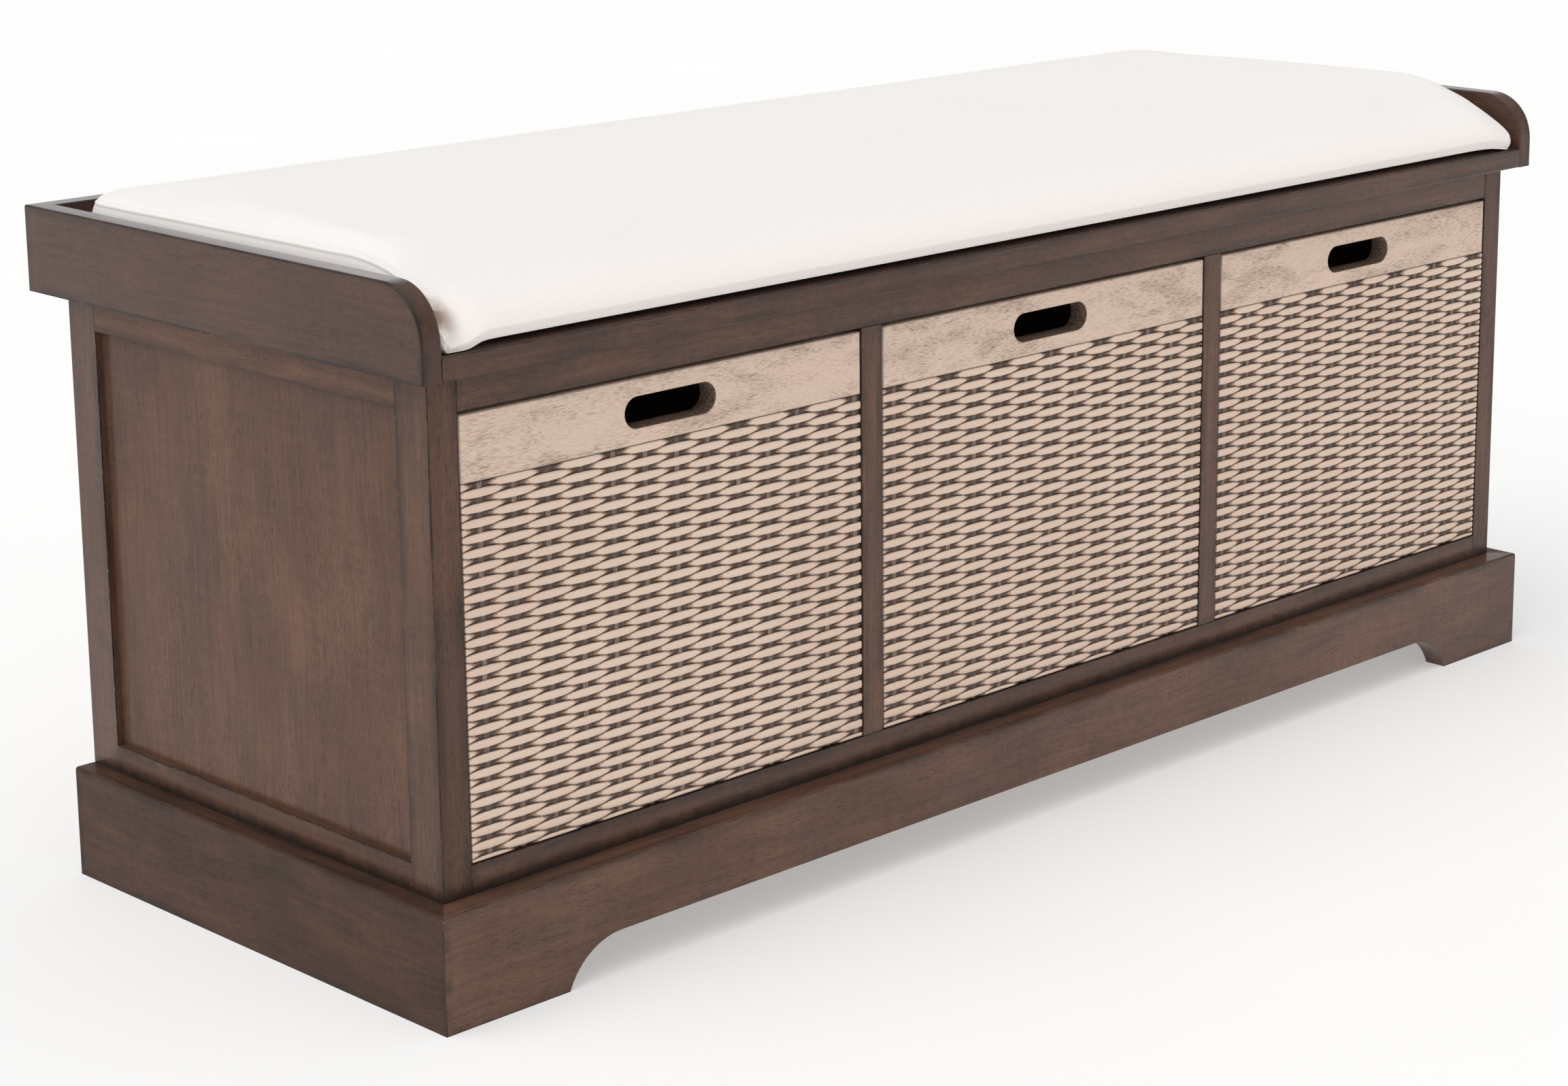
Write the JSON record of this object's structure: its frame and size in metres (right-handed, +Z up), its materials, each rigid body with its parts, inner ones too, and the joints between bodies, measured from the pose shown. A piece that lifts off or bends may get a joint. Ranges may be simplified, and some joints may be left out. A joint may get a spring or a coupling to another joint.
{
  "type": "entryway bench",
  "caption": "Low wooden entryway bench with a cushioned seat tray over a row of pull-out bins with carved basket-weave fronts and finger slots.",
  "frame": {"origin": "on the floor at the middle of the bench, half way along its length and half way from front to back", "axes": "+X along the length, to the right as seen from the front; the bins face -Y; +Z up"},
  "size_m": [1.075, 0.4, 0.45],
  "materials": {
    "stained_wood": "grey-brown stain under a dark glaze, satin lacquer",
    "inner_wood": "unstained plywood and softwood, sealed",
    "bin_wood": "whitewashed solid wood, matt lacquer",
    "carved_front": "whitewashed wood carved as basket weave, dark glaze in the hollows",
    "canvas": "undyed flecked cotton canvas over foam",
    "screw_steel": "zinc plated",
    "glide_nylon": "brown nylon"
  },
  "bodies": {
    "bench_frame": {"back_bottom_rail": "stained_wood", "back_panel": "inner_wood", "back_post_left": "stained_wood", "back_post_right": "stained_wood", "back_top_rail": "stained_wood", "bin_guide_left": "inner_wood", "bin_guide_right": "inner_wood", "corner_blocks": "inner_wood", "divider_left": "stained_wood", "divider_right": "stained_wood", "floor_glides": "glide_nylon", "floor_panel": "inner_wood", "front_bottom_rail": "stained_wood", "front_post_left": "stained_wood", "front_post_right": "stained_wood", "front_top_rail": "stained_wood", "plinth_back_board": "inner_wood", "plinth_front_board": "stained_wood", "plinth_left_board": "stained_wood", "plinth_right_board": "stained_wood", "plinth_screws": "screw_steel", "seat_board": "stained_wood", "seat_screws": "screw_steel", "side_bottom_rail_left": "stained_wood", "side_bottom_rail_right": "stained_wood", "side_panel_left": "stained_wood", "side_panel_right": "stained_wood", "side_top_rail_left": "stained_wood", "side_top_rail_right": "stained_wood", "tray_back_board": "stained_wood", "tray_dowels": "inner_wood", "tray_side_left": "stained_wood", "tray_side_right": "stained_wood"},
    "seat_cushion": {"cushion": "canvas"},
    "bin_1": {"bin_1_back": "bin_wood", "bin_1_bottom": "bin_wood", "bin_1_front": "carved_front", "bin_1_left_side": "bin_wood", "bin_1_right_side": "bin_wood"},
    "bin_2": {"bin_2_back": "bin_wood", "bin_2_bottom": "bin_wood", "bin_2_front": "carved_front", "bin_2_left_side": "bin_wood", "bin_2_right_side": "bin_wood"},
    "bin_3": {"bin_3_back": "bin_wood", "bin_3_bottom": "bin_wood", "bin_3_front": "carved_front", "bin_3_left_side": "bin_wood", "bin_3_right_side": "bin_wood"}
  },
  "joints": [
    {"name": "bin_1_slide", "type": "slide", "parent": "bench_frame", "child": "bin_1", "axis": [0, -1, 0], "range_m": [0, 0.3]},
    {"name": "bin_2_slide", "type": "slide", "parent": "bench_frame", "child": "bin_2", "axis": [0, -1, 0], "range_m": [0, 0.3]},
    {"name": "bin_3_slide", "type": "slide", "parent": "bench_frame", "child": "bin_3", "axis": [0, -1, 0], "range_m": [0, 0.3]},
    {"name": "cushion_lift", "type": "slide", "parent": "bench_frame", "child": "seat_cushion", "axis": [0, 0, 1], "range_m": [0, 0.15]}
  ]
}
